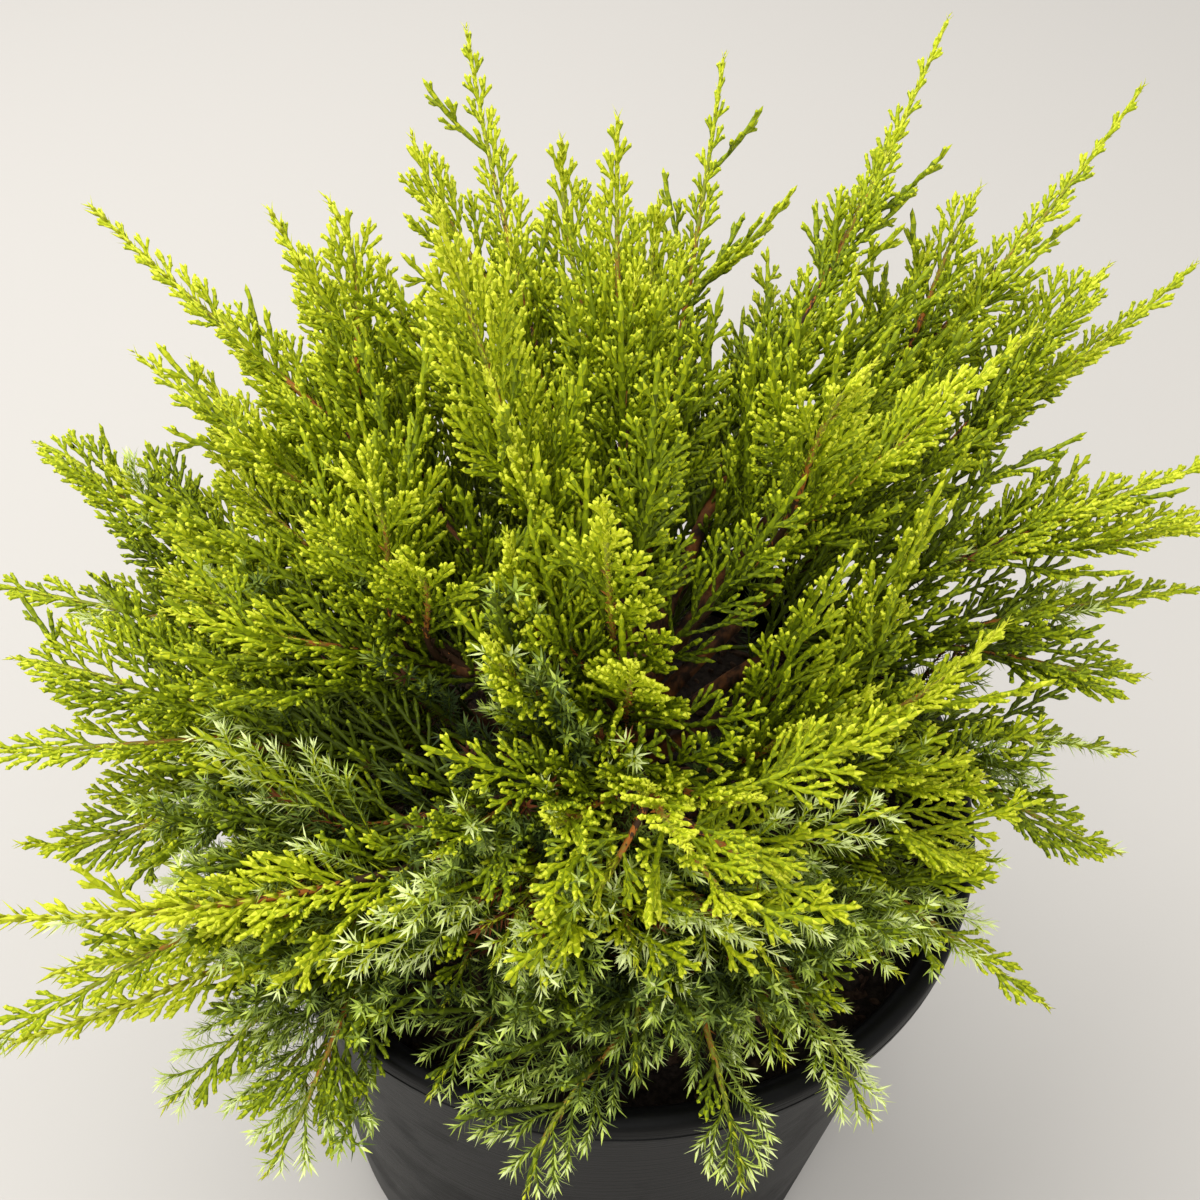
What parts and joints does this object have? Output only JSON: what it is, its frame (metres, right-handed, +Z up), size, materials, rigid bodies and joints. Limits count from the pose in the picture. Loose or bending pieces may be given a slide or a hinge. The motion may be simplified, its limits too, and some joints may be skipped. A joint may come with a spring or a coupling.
{
  "type": "potted spreading conifer shrub",
  "caption": "Low spreading conifer with arching, feathery plumes of scale leaves and short needles, growing in a round black nursery pot that stands on its flat foot.",
  "frame": {"origin": "centre of the pot's flat underside, on the surface that the pot stands on", "axes": "+Z up along the pot's axis, -Y towards the front that the picture looks at, +X to the right in it"},
  "size_m": [0.4898, 0.3817, 0.478],
  "materials": {
    "pot_plastic": "black moulded plastic with a soft sheen",
    "potting_mix": "dark crumbly bark and peat mix",
    "bark": "thin flaking red-brown bark",
    "foliage": "matt green scale leaves with lime-yellow tips"
  },
  "bodies": {
    "root": {"bough_back_centre": "bark", "bough_back_leader": "bark", "bough_back_left": "bark", "bough_back_right": "bark", "bough_back_skirt": "bark", "bough_back_skirt_left": "bark", "bough_back_skirt_right": "bark", "bough_front_inner": "bark", "bough_front_near": "bark", "bough_front_right_low": "bark", "bough_front_right_skirt": "bark", "bough_front_right_upper": "bark", "bough_front_skirt": "bark", "bough_left_fan": "bark", "bough_left_far": "bark", "bough_left_high": "bark", "bough_left_inner": "bark", "bough_left_leader": "bark", "bough_left_low": "bark", "bough_left_skirt": "bark", "bough_right_high": "bark", "bough_right_inner": "bark", "bough_right_leader": "bark", "bough_right_low": "bark", "bough_right_middle": "bark", "bough_right_shoulder": "bark", "mass_back_centre": "foliage", "mass_back_leader": "foliage", "mass_back_left": "foliage", "mass_back_right": "foliage", "mass_back_skirt": "foliage", "mass_back_skirt_left": "foliage", "mass_back_skirt_right": "foliage", "mass_crown_centre": "foliage", "mass_crown_front": "foliage", "mass_crown_left": "foliage", "mass_crown_right": "foliage", "mass_front_inner": "foliage", "mass_front_low": "foliage", "mass_front_near": "foliage", "mass_front_right_low": "foliage", "mass_front_right_skirt": "foliage", "mass_front_right_upper": "foliage", "mass_front_skirt": "foliage", "mass_left_fan": "foliage", "mass_left_far": "foliage", "mass_left_high": "foliage", "mass_left_inner": "foliage", "mass_left_leader": "foliage", "mass_left_low": "foliage", "mass_left_skirt": "foliage", "mass_right_high": "foliage", "mass_right_inner": "foliage", "mass_right_leader": "foliage", "mass_right_low": "foliage", "mass_right_middle": "foliage", "mass_right_shoulder": "foliage", "pot": "pot_plastic", "soil": "potting_mix", "trunk": "bark"}
  },
  "joints": []
}
